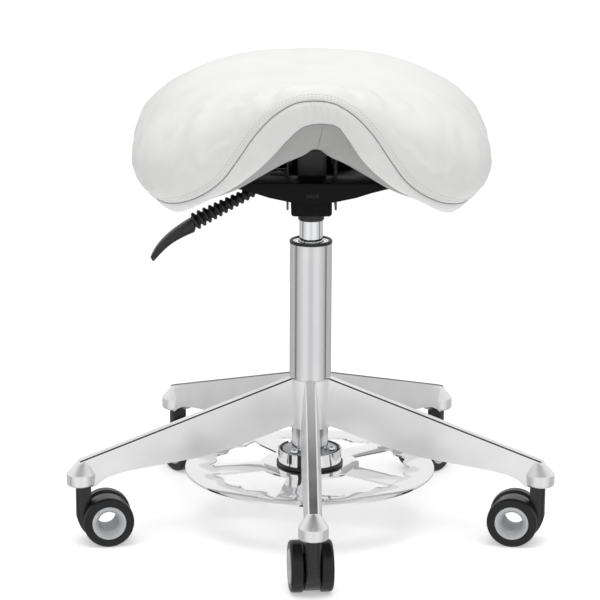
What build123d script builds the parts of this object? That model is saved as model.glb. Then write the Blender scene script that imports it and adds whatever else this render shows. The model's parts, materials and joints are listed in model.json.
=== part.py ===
from build123d import *
import math
import os

# Saddle stool on a five-leg caster base, with a foot-worked height release and a tilting seat.
# Millimetres. Z is up, the floor is Z = 0, the column's axis is the Z axis, and -Y is the seat's front.

# ---------------------------------------------------------------- driving dimensions
LEG_COUNT = 5
FIRST_LEG_ANGLE = 270.0         # one leg points straight to the front
STEM_CIRCLE_R = 282.4           # caster stems from the column's axis
RIM_Z = 72.0                    # underside of a leg's caster cup
HUB_R = 26.0
HUB_TOP_Z = 180.0
HUB_LOW_Z = 120.0
RIDGE_START = (15.0, 184.2)     # (distance from the axis, height) of the leg's top line
RIDGE_END = (287.0, 102.4)
RIDGE_WIDTH = 12.0
RIDGE_BEVEL = 1.3
LEG_FOOT_WIDTH = 24.0
LEG_ROOT_R = 10.0               # a leg starts this far from the axis, inside the hub
CUP_R = 17.2
CUP_CENTRE_R = 284.4
CUP_START_R = 270.0
CUP_SHOULDER_Z = 86.0
CUP_FILLET = 3.0

COLUMN_R = 25.0
COLUMN_TOP_Z = 348.5
COLUMN_LOW_Z = 84.0
COLUMN_TAIL_R = 21.75
COLUMN_WALL = 2.4
CYLINDER_R = 14.0
CYLINDER_LOW_Z = 118.0
CYLINDER_TOP_Z = 424.0
ROD_R = 6.0
ROD_LOW_Z = 78.6
ROD_SHOULDER_Z = 94.2
PISTON_Z = 270.0
PISTON_HEIGHT = 12.0
PIN_R = 2.0
PIN_LOW_Z = 77.0
TUBE_FLOOR = 4.0                # thickness of the tube's closed end
BUSH_LOW_Z = 266.0
RING_HEIGHT = 3.3
RUNNING_GAP = 0.06

WHEEL_R = 30.0
WHEEL_INNER_Y = 9.6
WHEEL_OUTER_Y = 24.8
HUB_RING_R = 20.0
SLEEVE_R = 14.5
SLEEVE_BORE_R = 12.5
CASTER_TRAIL = 28.0
CASTER_BODY_HALF = 8.7
CASTER_TOP_Z = 71.6
SLEEVE_END = 22.4               # half the length of the hollow axle
SLEEVE_FUNNEL = 3.2
STEM_R = 5.5
STEM_LOW_Z = 50.0
STEM_TOP_Z = 95.5
TRAIL_ANGLES = (95.2, 169.2, 234.2, 304.2, 9.2)     # where each caster's wheels trail at rest

PLATE_R = 150.0
PLATE_THICKNESS = 2.5
PLATE_OUTER_Z = 67.5            # top of the plate's outer ring
PLATE_INNER_Z = 71.0            # top of its raised middle
PLATE_OUTER_APOTHEM = 106.0
PLATE_INNER_APOTHEM = 55.0
CUTOUT_CENTRE_ANGLE = 7.0
CUTOUT_INNER_R = 59.5
CUTOUT_OUTER_R = 117.5
SPOKE_WIDTH = 33.0
SCALLOP_DEPTH = 3.2
SCALLOP_COUNT = 20
WINDOW_FILLET = 5.0
ROCKER_R = 40.0
ROCKER_WALL = 2.0
ROCKER_TOP_Z = 89.0
CUP_FLOOR_TOP_Z = 75.5
FLANGE_R = 33.0
FLANGE_THICKNESS = 6.0
ROCKER_SCREW_R = 27.0
ROCKER_SCREW_ANGLES = (106.0, 226.0, 346.0)

BLOCK_LOW_Z = 381.0
BLOCK_TOP_Z = 405.0
BLOCK_WIDTH = 48.0
COLLAR_LOW_Z = 373.0
PAN_TOP_Z = 435.0
PAN_LOW_Z = 411.5
PAN_HALF_WIDTH = 98.0
PAN_HALF_DEPTH = 84.0
PAN_WALL = 2.5
PAN_LID_DEPTH = 42.0            # the pan's front is covered this far back from its brim
SIDE_PLATE_X = 27.0
SIDE_PLATE_THICKNESS = 2.5
SIDE_PLATE_Z = (392.0, 470.0)
SIDE_PLATE_HALF_DEPTH = 34.0
BRACKET_DEPTH = 80.0
TILT_AXIS_Z = 455.0
TILT_PIN_R = 5.0

LEVER_Y = -20.0
LEVER_PIVOT = (-38.0, 428.2)    # (X, Z)
LEVER_NECK = (-139.0, 374.0)    # where the sleeve meets the paddle
LEVER_PIN_R = 3.0
LEVER_BAR_R = 3.6
SLEEVE_RIBS = 13
PADDLE_HALF_WIDTH = 12.0

SHELL_FLAT_Z = 486.0
SHELL_THICKNESS = 9.0
SHELL_HALF_DEPTH = 118.0
SHELL_FOOT_Z = 430.0
BRACKET_PLATE = (116.0, 150.0, 3.5)
SEAT_BOLT_X = 45.0
SEAT_BOLT_Y = 60.0
SEAT_BOLT_R = 3.0

UPRIGHT = (Align.CENTER, Align.CENTER, Align.MIN)   # a cylinder that stands on its own origin

os.makedirs("parts", exist_ok=True)


# ---------------------------------------------------------------- small helpers
def save(node, shape):
    """Write one node as a STEP file."""
    shape.label = node
    export_step(shape, f"parts/{node}.step")


def tube(outer_r, inner_r, low, high):
    """An upright tube about the Z axis."""
    return Pos(0, 0, low) * extrude(Circle(outer_r) - Circle(inner_r), high - low)


def rod(radius, low, high):
    """An upright round bar on the Z axis."""
    return Pos(0, 0, low) * extrude(Circle(radius), high - low)


def turned(*outline):
    """A solid turned about Z from (radius, height) points."""
    return revolve(make_face(Polyline(*[(r, 0, z) for r, z in outline], close=True)), Axis.Z)


def side_prism(outline, half_depth):
    """A prism along Y, centred on Y = 0, from a closed list of (X, Z) points."""
    face = make_face(Polyline(*[(x, -half_depth, z) for x, z in outline], close=True))
    return extrude(face, 2 * half_depth, dir=(0, 1, 0))


def polar(radius, degrees):
    """The (X, Y) point at a radius and an angle."""
    return radius * math.cos(math.radians(degrees)), radius * math.sin(math.radians(degrees))


def leg_angle(index):
    """The direction of one leg, in degrees from +X."""
    return FIRST_LEG_ANGLE + index * 360.0 / LEG_COUNT


def around(shapes, angles):
    """Copies of a shape turned about Z to each angle, as a list."""
    return [Rot(0, 0, angle) * shapes for angle in angles]


# ---------------------------------------------------------------- star base
def ridge_height(distance):
    """Height of a leg's top line at a distance from the column's axis."""
    (x0, z0), (x1, z1) = RIDGE_START, RIDGE_END
    return z0 + (z1 - z0) * (distance - x0) / (x1 - x0)


def leg_section(distance, foot_z):
    """One cross-section of a leg: a flat bevelled ridge over walls that splay to the foot."""
    top = ridge_height(distance)
    ridge = RIDGE_WIDTH / 2
    half = [(ridge - RIDGE_BEVEL, top), (ridge + 0.3, top - RIDGE_BEVEL), (LEG_FOOT_WIDTH / 2, foot_z)]
    points = half + [(-y, z) for y, z in reversed(half)]
    return make_face(Polyline(*[(distance, y, z) for y, z in points], close=True))


def leg_side_cut():
    """The leg's side view as a prism: open above, with an underside that curves down to the caster cup."""
    above, root = HUB_TOP_Z + 20, HUB_LOW_Z + 6
    lid = Polyline((LEG_ROOT_R, 0, root), (LEG_ROOT_R, 0, above), (RIDGE_END[0], 0, above),
                   (RIDGE_END[0], 0, RIM_Z), (CUP_START_R, 0, RIM_Z))
    belly = Spline((CUP_START_R, 0, RIM_Z), (257, 0, 80.5), (240, 0, 85), (161, 0, 93.5), (90, 0, 106),
                   (42, 0, HUB_LOW_Z), (LEG_ROOT_R, 0, root))
    return extrude(make_face([*lid.edges(), belly]), LEG_FOOT_WIDTH, both=True)


def make_leg():
    """One leg along +X, with its flared caster cup."""
    wedge = loft([leg_section(RIDGE_START[0], 112.0), leg_section(RIDGE_END[0], 68.0)], ruled=True)
    beam = wedge & leg_side_cut()
    cup = Pos(CUP_CENTRE_R, 0, RIM_Z) * Cylinder(CUP_R, CUP_SHOULDER_Z - RIM_Z, align=UPRIGHT)
    cup = fillet(cup.edges().group_by(Axis.Z)[0], CUP_FILLET)
    flare_low = Plane.XY.offset(CUP_SHOULDER_Z) * Pos(CUP_CENTRE_R, 0) * Circle(CUP_R)
    tip_r = RIDGE_WIDTH / 2
    flare_high = Plane.XY.offset(RIDGE_END[1]) * Pos(RIDGE_END[0] - tip_r, 0) * Circle(tip_r)
    return beam + cup + loft([flare_low, flare_high], ruled=True)


def make_star_base():
    """Hub and five legs, cast in one piece."""
    legs = around(make_leg(), [leg_angle(i) for i in range(LEG_COUNT)])
    base = rod(HUB_R, HUB_LOW_Z, HUB_TOP_Z)
    for leg in legs:
        base += leg
    base -= turned((0, HUB_TOP_Z + 10), (COLUMN_R, HUB_TOP_Z + 10), (COLUMN_R, HUB_TOP_Z),
                   (COLUMN_TAIL_R, HUB_LOW_Z), (COLUMN_TAIL_R, HUB_LOW_Z - 30), (0, HUB_LOW_Z - 30))
    socket = rod(STEM_R, RIM_Z - 1, STEM_TOP_Z + 0.5)
    for i in range(LEG_COUNT):
        base -= Pos(*polar(STEM_CIRCLE_R, leg_angle(i)), 0) * socket
    return base


def make_caster_stems():
    """Five steel grip-ring stems, pressed into the leg cups."""
    chamfer, nose = 0.8, 1.5
    stem = turned((0, STEM_LOW_Z), (STEM_R - chamfer, STEM_LOW_Z), (STEM_R, STEM_LOW_Z + chamfer),
                  (STEM_R, STEM_TOP_Z - nose), (STEM_R - nose, STEM_TOP_Z), (0, STEM_TOP_Z))
    return Compound([Pos(*polar(STEM_CIRCLE_R, leg_angle(i)), 0) * stem for i in range(LEG_COUNT)])


# ---------------------------------------------------------------- casters, built round their own swivel axis
def make_caster_body():
    """Swivel housing and web; the web is pierced by the hollow axle."""
    half = CASTER_BODY_HALF
    wheel_centre = (CASTER_TRAIL, WHEEL_R)
    heel, front_z, rear_z = (9.0, 8.2), 37.0, 55.0
    housing = make_face([
        Line((-half, CASTER_TOP_Z), (-half, front_z)),
        ThreePointArc((-half, front_z), (-2.5, 19.5), heel),
        Line(heel, wheel_centre),
        Line(wheel_centre, (half, rear_z)),
        Line((half, rear_z), (half, CASTER_TOP_Z)),
        Line((half, CASTER_TOP_Z), (-half, CASTER_TOP_Z)),
    ])
    side = Pos(*wheel_centre) * Circle(WHEEL_R - 1.8) + housing
    web = extrude(Plane.XZ * side, half, both=True)
    reach = CASTER_TRAIL + 5
    plan = Circle(half) + Pos(reach, 0) * Rectangle(2 * reach, 2 * half)
    body = web & extrude(plan, CASTER_TOP_Z + 10)
    body -= Pos(CASTER_TRAIL, 0, WHEEL_R) * Rot(90, 0, 0) * Cylinder(SLEEVE_R, 4 * half)
    return body - rod(STEM_R + RUNNING_GAP, STEM_LOW_Z - 0.5, CASTER_TOP_Z + 1)


def on_axle(shape):
    """Turn a shape made about Z onto the caster's wheel axle, its +Z end towards local +Y."""
    return Pos(CASTER_TRAIL, 0, WHEEL_R) * Rot(-90, 0, 0) * shape


def make_axle_sleeve():
    """The hollow axle, funnelled at both ends, that the two wheels run on."""
    lip, funnel = SLEEVE_R - 0.3, SLEEVE_END - SLEEVE_FUNNEL
    return on_axle(turned((SLEEVE_R, -SLEEVE_END), (SLEEVE_R, SLEEVE_END), (lip, SLEEVE_END),
                          (SLEEVE_BORE_R, funnel), (SLEEVE_BORE_R, -funnel), (lip, -SLEEVE_END)))


def make_wheel_hub(side):
    """Light hub ring of one wheel, dished towards the hollow axle."""
    bore, flange_y, dish_r = SLEEVE_R + RUNNING_GAP, WHEEL_OUTER_Y - 2.5, 17.2
    outline = [(bore, WHEEL_INNER_Y), (HUB_RING_R - 1, WHEEL_INNER_Y), (HUB_RING_R - 1, flange_y),
               (HUB_RING_R, flange_y), (HUB_RING_R, WHEEL_OUTER_Y - 0.4), (HUB_RING_R - 0.5, WHEEL_OUTER_Y),
               (dish_r, WHEEL_OUTER_Y), (bore + 0.2, SLEEVE_END), (bore, SLEEVE_END - 0.9)]
    return on_axle(turned(*[(r, side * y) for r, y in outline]))


def make_tyre(side):
    """Soft tread moulded round one hub."""
    inner = HUB_RING_R - 1
    outline = [(inner, WHEEL_INNER_Y), (28.0, WHEEL_INNER_Y), (29.2, 10.0), (WHEEL_R, 11.4), (WHEEL_R, 20.6),
               (29.6, 22.4), (28.4, 23.9), (27.0, WHEEL_OUTER_Y - 0.3),
               (HUB_RING_R + 0.8, WHEEL_OUTER_Y - 0.3),
               (HUB_RING_R, WHEEL_OUTER_Y - 0.7), (HUB_RING_R, WHEEL_OUTER_Y - 2.5),
               (inner, WHEEL_OUTER_Y - 2.5)]
    return on_axle(turned(*[(r, side * y) for r, y in outline]))


def save_casters():
    """Write the six nodes of each caster where it stands at rest."""
    for i, trail in enumerate(TRAIL_ANGLES):
        place = Pos(*polar(STEM_CIRCLE_R, leg_angle(i)), 0) * Rot(0, 0, trail)
        save(f"caster_body_{i + 1}", place * make_caster_body())
        save(f"axle_sleeve_{i + 1}", place * make_axle_sleeve())
        for name, side in (("left", 1), ("right", -1)):
            save(f"wheel_hub_{name}_{i + 1}", place * make_wheel_hub(side))
            save(f"tyre_{name}_{i + 1}", place * make_tyre(side))


# ---------------------------------------------------------------- column and gas spring
def make_column_tube():
    """Outer tube: straight above the hub, tapered in it, with a closed tail below."""
    wall, floor, top = COLUMN_WALL, COLUMN_LOW_Z + TUBE_FLOOR, COLUMN_TOP_Z - RING_HEIGHT
    rod_hole = ROD_R + 0.4
    return turned((COLUMN_R, top), (COLUMN_R, HUB_TOP_Z), (COLUMN_TAIL_R, HUB_LOW_Z),
                  (COLUMN_TAIL_R, COLUMN_LOW_Z),
                  (rod_hole, COLUMN_LOW_Z), (rod_hole, floor), (COLUMN_TAIL_R - wall, floor),
                  (COLUMN_TAIL_R - wall, HUB_LOW_Z), (COLUMN_R - wall, HUB_TOP_Z), (COLUMN_R - wall, top))


def make_column_ring():
    """Black plastic ring that finishes the tube's top edge."""
    top, low, outer, inner = COLUMN_TOP_Z, COLUMN_TOP_Z - RING_HEIGHT, COLUMN_R + 0.3, 21.6
    return turned((outer, low), (outer, top - 0.6), (outer - 0.7, top), (inner, top), (inner, low))


def make_column_washers():
    """Two steel washers stepped inside the ring, round the cylinder."""
    low = COLUMN_TOP_Z - RING_HEIGHT
    outer = tube(21.5, 18.6, low, COLUMN_TOP_Z - 1.0)
    inner = tube(18.4, 15.4, low, COLUMN_TOP_Z - 1.8)
    return Compound([outer, inner])


def make_guide_bush():
    """Plastic bush that guides the cylinder in the tube."""
    return tube(COLUMN_R - COLUMN_WALL, CYLINDER_R + RUNNING_GAP, BUSH_LOW_Z, COLUMN_TOP_Z - RING_HEIGHT)


def make_gas_cylinder():
    """Pressure tube: closed at the top by the taper, open round the rod at the bottom."""
    low, top, bore, cap = CYLINDER_LOW_Z, CYLINDER_TOP_Z, CYLINDER_R - 1.5, 9.0
    gland = ROD_R + RUNNING_GAP
    return turned((CYLINDER_R, low), (CYLINDER_R, BLOCK_LOW_Z), (CYLINDER_R - 0.6, top), (0, top),
                  (0, top - cap),
                  (bore, top - cap), (bore, low + 8), (gland, low + 8), (gland, low))


def make_piston_rod():
    """Hollow rod with its piston at the top and a shoulder that stands on the thrust bearing."""
    bore, shoulder_r, shoulder = PIN_R + RUNNING_GAP, 10.0, 3.0
    piston, top = CYLINDER_R - 1.5 - RUNNING_GAP, PISTON_Z + PISTON_HEIGHT
    return turned((bore, ROD_LOW_Z), (ROD_R, ROD_LOW_Z), (ROD_R, ROD_SHOULDER_Z),
                  (shoulder_r, ROD_SHOULDER_Z),
                  (shoulder_r, ROD_SHOULDER_Z + shoulder), (ROD_R, ROD_SHOULDER_Z + shoulder),
                  (ROD_R, PISTON_Z),
                  (piston, PISTON_Z), (piston, top), (bore, top))


def make_thrust_bearing():
    """Ball thrust washer stack on the tube's floor, as one ring."""
    return tube(16.5, ROD_R + 0.1, COLUMN_LOW_Z + TUBE_FLOOR + 0.2, ROD_SHOULDER_Z - 0.2)


def make_rod_clip():
    """Spring clip that keeps the rod in the tube's floor."""
    return tube(9.0, ROD_R, 80.6, 82.6)


# ---------------------------------------------------------------- foot release
def scallop_point(angle):
    """A point of the windows' wavy outer edge."""
    wave = SCALLOP_DEPTH * math.cos(math.radians(SCALLOP_COUNT * angle))
    return polar(CUTOUT_OUTER_R + wave, angle + CUTOUT_CENTRE_ANGLE + 180 / SCALLOP_COUNT)


def plate_outline():
    """Plan of the foot plate: a disc with five scalloped windows between parallel-sided spokes."""
    points = 4 * SCALLOP_COUNT
    rim = Spline(*[scallop_point(i * 360.0 / points) for i in range(points)], periodic=True)
    windows = make_face(rim) - Circle(CUTOUT_INNER_R)
    between = 180.0 / LEG_COUNT
    for i in range(LEG_COUNT):
        spoke_angle = CUTOUT_CENTRE_ANGLE + between * (2 * i + 1)
        windows -= Rot(0, 0, spoke_angle) * Pos(80, 0) * Rectangle(100, SPOKE_WIDTH)
    cut = Sketch()
    for window in windows.faces():
        cut += fillet(window.vertices(), WINDOW_FILLET)
    return Circle(PLATE_R) - cut


def plate_hill(lift):
    """Everything under the plate's upper skin: a floor disc with a low five-sided hill on it."""
    low = Plane.XY.offset(PLATE_OUTER_Z + lift)
    high = Plane.XY.offset(PLATE_INNER_Z + lift)
    turn = Rot(0, 0, FIRST_LEG_ANGLE)
    outer = low * turn * RegularPolygon(PLATE_OUTER_APOTHEM, LEG_COUNT, major_radius=False, rotation=36)
    inner = high * turn * RegularPolygon(PLATE_INNER_APOTHEM, LEG_COUNT, major_radius=False, rotation=36)
    disc = rod(PLATE_R + 5, PLATE_OUTER_Z + lift - 12, PLATE_OUTER_Z + lift)
    return disc + loft([outer, inner], ruled=True)


def make_foot_plate():
    """Polished steel plate: flat rim, sloped spokes and a raised middle, with a hole for the rocker cup."""
    sheet = plate_hill(0) - plate_hill(-PLATE_THICKNESS)
    plan = Pos(0, 0, PLATE_OUTER_Z - 10) * extrude(plate_outline(), 20)
    return (sheet & plan) - rod(12, 60, 80)


def make_rocker_cup():
    """Black cup fixed on the plate; its floor pushes the release pin."""
    floor, wall_outer = CUP_FLOOR_TOP_Z, ROCKER_R - 3.4
    wall_inner, button_r = wall_outer - ROCKER_WALL, 5.0
    cup = turned((0, PLATE_INNER_Z), (ROCKER_R - 1.4, PLATE_INNER_Z), (ROCKER_R, PLATE_INNER_Z + 1.2),
                 (ROCKER_R, floor - 0.8), (ROCKER_R - 0.8, floor), (wall_outer, floor),
                 (wall_outer, ROCKER_TOP_Z),
                 (wall_inner, ROCKER_TOP_Z), (wall_inner, floor), (button_r, floor), (button_r, floor + 1.0),
                 (0, floor + 1.0))
    for angle in ROCKER_SCREW_ANGLES:
        cup -= Pos(*polar(ROCKER_SCREW_R, angle), floor) * Cylinder(2.5, 6.0)
    return cup


def make_rocker_band():
    """Polished band round the cup, in three arcs with a gap beside each screw."""
    band = tube(ROCKER_R - 1.8, ROCKER_R - 3.3, CUP_FLOOR_TOP_Z + 0.1, ROCKER_TOP_Z + 2)
    gap = Box(12, 5, 30)
    for angle in ROCKER_SCREW_ANGLES:
        band -= Rot(0, 0, angle + 24) * Pos(ROCKER_R - 2, 0, ROCKER_TOP_Z - 5) * gap
    return band


def make_rocker_screws():
    """Three shoulder screws: domed heads over the flange, shanks down into the cup's floor."""
    screw = turned((0, 72.5), (2.5, 72.5), (2.5, 90.7), (4.4, 90.7), (4.5, 91.6), (3.8, 93.6), (2.2, 94.8),
                   (0, 95.2))
    return Compound([Pos(*polar(ROCKER_SCREW_R, a), 0) * screw for a in ROCKER_SCREW_ANGLES])


def make_release_flange():
    """Steel flange clamped on the column's tail; the rocker hangs from it."""
    flange = tube(FLANGE_R, COLUMN_TAIL_R, COLUMN_LOW_Z, COLUMN_LOW_Z + FLANGE_THICKNESS)
    for angle in ROCKER_SCREW_ANGLES:
        hole = Cylinder(3.7, 2 * FLANGE_THICKNESS)
        flange -= Pos(*polar(ROCKER_SCREW_R, angle), COLUMN_LOW_Z + FLANGE_THICKNESS / 2) * hole
    return flange


def make_release_pin():
    """Thin pin in the hollow rod that opens the gas valve when it is pushed up."""
    return rod(PIN_R, PIN_LOW_Z, PISTON_Z + PISTON_HEIGHT - 2)


# ---------------------------------------------------------------- tilt mechanism
def make_socket_collar():
    """Short black collar under the socket, round the cylinder."""
    outer, low, top = CYLINDER_R + 1.5, COLLAR_LOW_Z, BLOCK_LOW_Z - 0.2
    return turned((CYLINDER_R, low), (outer - 0.6, low), (outer, low + 1), (outer, top), (CYLINDER_R, top))


def make_socket_block():
    """Steel block whose tapered bore grips the cylinder."""
    height = BLOCK_TOP_Z - BLOCK_LOW_Z
    block = Pos(0, 0, BLOCK_LOW_Z + height / 2) * Box(BLOCK_WIDTH, BLOCK_WIDTH, height)
    block = fillet(block.edges().group_by(Axis.Z)[0], 5.0)
    below, top_r = BLOCK_LOW_Z - 11, CYLINDER_R - 0.27
    return block - turned((0, below), (CYLINDER_R, below), (CYLINDER_R, BLOCK_LOW_Z), (top_r, BLOCK_TOP_Z),
                          (0, BLOCK_TOP_Z))


def pan_side(inset):
    """The pan's front view as (X, Z) points: a level brim over a shallow keel."""
    keel = [(0, PAN_LOW_Z), (25, 412.8), (50, 418), (67, 423.5), (84, 428), (PAN_HALF_WIDTH, 430.5)]
    right = [(max(x - inset, 0) if x else 0, z + inset) for x, z in keel]
    brim = PAN_TOP_Z + (10 if inset else 0)
    return [*right, (PAN_HALF_WIDTH - inset, brim), (inset - PAN_HALF_WIDTH, brim),
            *[(-x, z) for x, z in reversed(right[1:])]]


def make_mechanism_pan():
    """Black pan round the tilt mechanism: lidded in front, open for the lever and the bracket."""
    pan = side_prism(pan_side(0), PAN_HALF_DEPTH)
    pan -= side_prism(pan_side(PAN_WALL), PAN_HALF_DEPTH - PAN_WALL)
    lid = Box(2 * PAN_HALF_WIDTH, PAN_LID_DEPTH, PAN_WALL)
    pan += Pos(0, PAN_LID_DEPTH / 2 - PAN_HALF_DEPTH, PAN_TOP_Z - PAN_WALL / 2) * lid
    bracket_slot = Box(2 * (SIDE_PLATE_X + SIDE_PLATE_THICKNESS) + 1, BRACKET_DEPTH + 2, 12)
    lever_slot = Box(48, 26, 40)
    front_slot = Box(15, 12, 5.5)
    pan -= Pos(0, 0, PAN_LOW_Z) * bracket_slot
    pan -= Pos(-58, LEVER_Y, 422) * lever_slot
    return pan - Pos(0, -PAN_HALF_DEPTH, 420) * front_slot


def make_pivot_bracket():
    """Folded steel bracket: a floor on the socket and two side plates that carry the tilt pin."""
    outer, floor_thickness = SIDE_PLATE_X + SIDE_PLATE_THICKNESS, 3.0
    low, high = SIDE_PLATE_Z
    floor = Pos(0, 0, BLOCK_TOP_Z + floor_thickness / 2) * Box(2 * outer, BRACKET_DEPTH, floor_thickness)
    cheek = Box(SIDE_PLATE_THICKNESS, 2 * SIDE_PLATE_HALF_DEPTH, high - low)
    bracket = floor - rod(CYLINDER_R + 0.5, BLOCK_TOP_Z - 1, BLOCK_TOP_Z + 5)
    for side in (-1, 1):
        bracket += Pos(side * (SIDE_PLATE_X + SIDE_PLATE_THICKNESS / 2), 0, (low + high) / 2) * cheek
    pin_hole = Rot(90, 0, 0) * Cylinder(LEVER_PIN_R, 6)
    for y in (LEVER_Y - 9.5, LEVER_Y + 9.5):
        ear = Pos(-outer - 9, y, LEVER_PIVOT[1]) * Box(20, 2.4, 17)
        bracket += ear - Pos(LEVER_PIVOT[0], y, LEVER_PIVOT[1]) * pin_hole
    return bracket - Pos(0, 0, TILT_AXIS_Z) * Rot(0, 90, 0) * Cylinder(TILT_PIN_R, 3 * outer)


def make_tilt_pin():
    """Cross pin that the seat tilts on, with a head at each end."""
    outer = SIDE_PLATE_X + SIDE_PLATE_THICKNESS
    pin = Cylinder(TILT_PIN_R, 2 * outer + 1)
    for side in (-1, 1):
        pin += Pos(0, 0, side * (outer + 1.8)) * Cylinder(TILT_PIN_R + 3, 3)
    return Pos(0, 0, TILT_AXIS_Z) * Rot(0, 90, 0) * pin


def make_lever_pin():
    """Small pin that the release lever turns on."""
    return Pos(LEVER_PIVOT[0], LEVER_Y, LEVER_PIVOT[1]) * Rot(90, 0, 0) * Cylinder(LEVER_PIN_R, 23)


def along_lever(shape):
    """Lay a shape made about Z along the lever, its foot at the pivot."""
    (x0, z0), (x1, z1) = LEVER_PIVOT, LEVER_NECK
    lean = math.degrees(math.atan2(x1 - x0, z1 - z0))
    return Pos(x0, LEVER_Y, z0) * Rot(0, lean, 0) * shape


def lever_length():
    """Distance from the lever's pivot to its paddle."""
    return math.dist(LEVER_PIVOT, LEVER_NECK)


def lever_bar():
    """The lever's round bar from its pivot into the paddle."""
    return rod(LEVER_BAR_R, 0, lever_length() + 12)


def make_lever_shaft():
    """Steel bar with a pivot eye at its inner end and a locking nose beyond it."""
    eye = Rot(90, 0, 0) * Cylinder(7.0, 14)
    hole = Rot(90, 0, 0) * Cylinder(LEVER_PIN_R + RUNNING_GAP, 20)
    return along_lever(eye + lever_bar() - hole)


def make_lever_sleeve():
    """Ribbed plastic sleeve that widens towards the paddle."""
    start, end = 18.0, lever_length() - 1.0
    pitch = (end - start) / SLEEVE_RIBS
    outline = [(LEVER_BAR_R, start)]
    for i in range(SLEEVE_RIBS):
        crest = 5.0 + 5.0 * (i + 0.5) / SLEEVE_RIBS
        foot = start + i * pitch
        outline += [(crest - 1.5, foot), (crest - 1.3, foot + 0.3 * pitch), (crest, foot + 0.45 * pitch),
                    (crest, foot + 0.85 * pitch)]
    return along_lever(turned(*outline, (8.2, end), (LEVER_BAR_R, end)))


def make_lever_paddle():
    """Curved grip paddle at the lever's end."""
    upper = Spline((-134, 0, 384.5), (-146, 0, 377), (-162, 0, 366.5), (-178, 0, 352), (-188.5, 0, 336),
                   (-191, 0, 327))
    tip = ThreePointArc((-191, 0, 327), (-189.5, 0, 324.2), (-186.5, 0, 325.3))
    lower = Spline((-186.5, 0, 325.3), (-177, 0, 336.5), (-163, 0, 349.5), (-149, 0, 357.5),
                   (-136.5, 0, 361.5))
    heel = Line((-136.5, 0, 361.5), (-134, 0, 384.5))
    blade = extrude(make_face([upper, tip, lower, heel]), PADDLE_HALF_WIDTH, both=True)
    plan = Plane.XY.offset(300) * Pos(-163, 0) * Ellipse(3 * PADDLE_HALF_WIDTH, PADDLE_HALF_WIDTH)
    blade = Pos(0, LEVER_Y, 0) * (blade & extrude(plan, 120))
    return blade - along_lever(lever_bar() + rod(11, 0, lever_length() - 1))


# ---------------------------------------------------------------- seat
def bolt_places():
    """The (X, Y) places of the four seat bolts."""
    return [(x, y) for x in (-SEAT_BOLT_X, SEAT_BOLT_X) for y in (-SEAT_BOLT_Y, SEAT_BOLT_Y)]


def make_seat_bracket():
    """Steel plate under the seat with two ears on the tilt pin and a slotted front flap."""
    top, thickness = SHELL_FLAT_Z, BRACKET_PLATE[2]
    bracket = Pos(0, 0, top - thickness / 2) * Box(*BRACKET_PLATE)
    ear_low, ear_half = 443.0, 1.5
    ear = side_prism([(-ear_half, ear_low), (ear_half, ear_low), (ear_half, top - 1), (-ear_half, top - 1)],
                     19)
    for side in (-1, 1):
        bracket += Pos(side * (SIDE_PLATE_X - 2.2), 0, 0) * ear
    flap_y, flap_low = -34, 424
    bracket += Pos(0, flap_y, (flap_low + top - 1) / 2) * Box(34, 3, top - 1 - flap_low)
    bracket -= extrude(Plane.XZ.offset(-flap_y) * Pos(0, 466) * SlotOverall(20, 6), 6, both=True)
    for x, y in bolt_places():
        bracket -= Pos(x, y, top) * Cylinder(SEAT_BOLT_R + 0.2, 12)
    return bracket - Pos(0, 0, TILT_AXIS_Z) * Rot(0, 90, 0) * Cylinder(TILT_PIN_R + RUNNING_GAP, 80)


def make_seat_bolts():
    """Four bolts from the seat bracket up into the shell."""
    head_top, head_r, head = SHELL_FLAT_Z - BRACKET_PLATE[2] - 0.1, 5.2, 4.0
    bolt = turned((0, head_top - head), (head_r, head_top - head), (head_r, head_top),
                  (SEAT_BOLT_R, head_top),
                  (SEAT_BOLT_R, SHELL_FLAT_Z + 7), (0, SHELL_FLAT_Z + 7))
    return Compound([Pos(x, y, 0) * bolt for x, y in bolt_places()])


def shell_line(rise):
    """Half of the shell's arch as (X, Z) points, moved outwards by a rise."""
    return [(62 + 0.5 * rise, SHELL_FLAT_Z + rise), (104 + 0.9 * rise, 460 + 0.7 * rise), (117 + rise, 440)]


def arch_outline(rise, foot_z):
    """The space under the arch as a closed outline down to a height."""
    half = [*shell_line(rise), (117 + rise, foot_z)]
    return [*half, *[(-x, z) for x, z in reversed(half)]]


def make_seat_shell():
    """Moulded plywood arch that carries the cushion."""
    shell = side_prism(arch_outline(SHELL_THICKNESS, SHELL_FOOT_Z), SHELL_HALF_DEPTH)
    shell -= side_prism(arch_outline(0, SHELL_FOOT_Z - 30), SHELL_HALF_DEPTH + 5)
    for x, y in bolt_places():
        shell -= Pos(x, y, SHELL_FLAT_Z) * Cylinder(SEAT_BOLT_R, 14)
    return shell


# Each station of the cushion: its place along Y, the half widths and heights of the crown, the shoulder,
# the widest point and the lobe's lowest point, and the roof of the arch between the lobes.
CUSHION_STATIONS = (
    # y, crown, shoulder, side, lobe, inner, roof
    (-184, 549, (62, 511), (126, 447), (137, 425), (96, 436), 520),
    (-150, 563, (92, 525), (168, 462), (146, 418), (92, 437), 500),
    (-90, 560, (112, 535), (202, 470), (160, 412), (110, 440), 496),
    (0, 556, (120, 536), (214, 468), (165, 411), (128, 440), 496),
    (90, 559, (116, 538), (207, 474), (158, 420), (120, 446), 496),
    (150, 553, (98, 530), (176, 481), (140, 440), (100, 456), 500),
    (184, 536, (70, 520), (124, 489), (104, 465), (72, 474), 508),
)


def cushion_section(y, crown, shoulder, side, lobe, inner, roof):
    """One closed cross-section of the saddle cushion."""
    right = [shoulder, side, lobe, inner]
    outside = [*[(-x, z) for x, z in reversed(right)], (0, crown), *right]
    over = Spline(*[(x, y, z) for x, z in outside])
    under = Spline((inner[0], y, inner[1]), (0, y, roof), (-inner[0], y, inner[1]))
    return make_face([over, under])


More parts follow.
